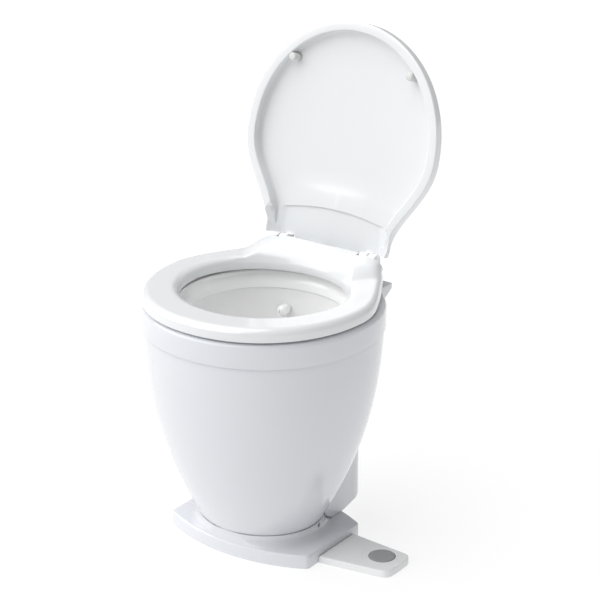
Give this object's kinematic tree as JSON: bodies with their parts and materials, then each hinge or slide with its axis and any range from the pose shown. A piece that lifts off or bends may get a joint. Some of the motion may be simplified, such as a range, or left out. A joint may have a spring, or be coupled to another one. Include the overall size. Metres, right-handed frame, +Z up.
{
  "type": "electric toilet",
  "caption": "White floor-standing electric macerator toilet with a round tapered bowl, hinged seat and lid, rear motor housing and a side foot switch.",
  "frame": {"origin": "on the floor, under the middle of the bowl's opening", "axes": "+X towards the foot switch, -Y towards the front, +Z up"},
  "size_m": [0.4125, 0.4228, 0.7327],
  "materials": {
    "white_gloss": "glossy moulded shell",
    "warm_white": "glossy moulded seat and lid",
    "basin_white": "glossy basin",
    "pedal_white": "satin moulded shell",
    "button_grey": "soft matt",
    "rubber_clear": "milky rubber",
    "black_plastic": "fine grained",
    "grey_plastic": "moulded",
    "rubber_black": "matt rubber",
    "steel": "turned stainless steel",
    "motor_paint": "black enamel",
    "copper": "varnished copper windings"
  },
  "bodies": {
    "frame": {"base_plate": "white_gloss", "basin": "basin_white", "basin_gasket": "rubber_black", "bearing_front": "steel", "bearing_rear": "steel", "bowl_skirt": "white_gloss", "bracket_screw_left": "steel", "bracket_screw_right": "steel", "button_spring": "steel", "cable_gland": "black_plastic", "damper_left": "white_gloss", "damper_right": "white_gloss", "discharge_elbow": "grey_plastic", "gland_nut": "black_plastic", "hinge_bracket": "white_gloss", "hinge_pin_left": "steel", "hinge_pin_right": "steel", "hose_tail": "grey_plastic", "housing_screw_left": "steel", "housing_screw_right": "steel", "joint_clamp": "steel", "joker_valve": "rubber_black", "lock_screw_left": "steel", "lock_screw_right": "steel", "magnet_left": "black_plastic", "magnet_right": "black_plastic", "micro_switch": "black_plastic", "motor_can": "motor_paint", "motor_end_cap": "black_plastic", "pump_back_plate": "grey_plastic", "pump_chamber": "grey_plastic", "rear_housing": "white_gloss", "relay_box": "black_plastic", "rim_band": "white_gloss", "rinse_hose": "rubber_black", "rinse_nozzle": "basin_white", "shaft_seal": "rubber_black", "switch_floor": "pedal_white", "switch_housing": "pedal_white", "valve_body": "grey_plastic", "valve_coil": "black_plastic", "valve_spring": "steel"},
    "seat": {"seat_bumper_front_left": "rubber_clear", "seat_bumper_front_right": "rubber_clear", "seat_bumper_rear_left": "rubber_clear", "seat_bumper_rear_right": "rubber_clear", "seat_ring": "warm_white"},
    "lid": {"lid": "white_gloss", "lid_bumper_left": "rubber_clear", "lid_bumper_right": "rubber_clear"},
    "rotor": {"armature": "copper", "commutator": "copper", "impeller": "black_plastic", "macerator_blade": "steel", "pump_shaft": "steel"},
    "button": {"foot_button": "button_grey"},
    "plunger": {"valve_plunger": "steel"}
  },
  "joints": [
    {"name": "lid_hinge", "type": "hinge", "parent": "frame", "child": "lid", "pos_m": [0, 0.148, 0.403], "axis": [-1, 0, 0], "range_deg": [-105, 0]},
    {"name": "seat_hinge", "type": "hinge", "parent": "frame", "child": "seat", "pos_m": [0, 0.148, 0.403], "axis": [-1, 0, 0], "range_deg": [0, 95]},
    {"name": "button_press", "type": "slide", "parent": "frame", "child": "button", "axis": [0, 0, -1], "range_m": [0, 0.002], "stiffness_N_per_m": 900, "springref_m": -0.001, "deforming": ["button_spring"]},
    {"name": "pump_spin", "type": "hinge", "parent": "frame", "child": "rotor", "pos_m": [0, 0, 0.088], "axis": [0, 1, 0], "continuous": true},
    {"name": "plunger_slide", "type": "slide", "parent": "frame", "child": "plunger", "axis": [0, 0, 1], "range_m": [0, 0.002], "stiffness_N_per_m": 500, "springref_m": -0.001, "deforming": ["valve_spring"]}
  ]
}
